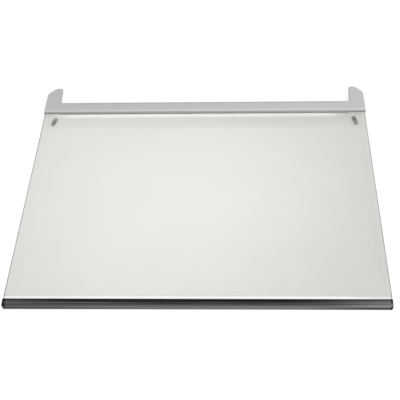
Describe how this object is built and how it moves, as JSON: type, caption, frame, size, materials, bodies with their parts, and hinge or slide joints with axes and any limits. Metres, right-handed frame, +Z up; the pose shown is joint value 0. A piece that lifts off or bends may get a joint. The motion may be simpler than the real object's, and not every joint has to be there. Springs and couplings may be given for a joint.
{
  "type": "fridge glass shelf",
  "caption": "Flat clear glass shelf with a slim dark front trim under a pale bead and a grey moulded rear trim whose end arms space it from the back wall of a fridge.",
  "frame": {"origin": "middle of the shelf's outline, on the surface that it lies on", "axes": "+X across the shelf, +Y from the front trim to the rear arms, +Z up"},
  "size_m": [0.5024, 0.3946, 0.013],
  "materials": {
    "clear_glass": "clear toughened glass with a faint green cast",
    "white_plastic": "smooth extruded, semi-gloss",
    "dark_metal": "dark anodised, brushed along its length",
    "black_plastic": "fine moulded grain",
    "grey_plastic": "satin moulded",
    "dark_rubber": "matt"
  },
  "bodies": {
    "root": {"glass_pane": "clear_glass", "front_carrier": "white_plastic", "front_strip": "dark_metal", "front_cap_left": "black_plastic", "front_cap_right": "black_plastic", "rear_trim": "grey_plastic", "rear_pad_left": "dark_rubber", "rear_pad_right": "dark_rubber"}
  },
  "joints": []
}
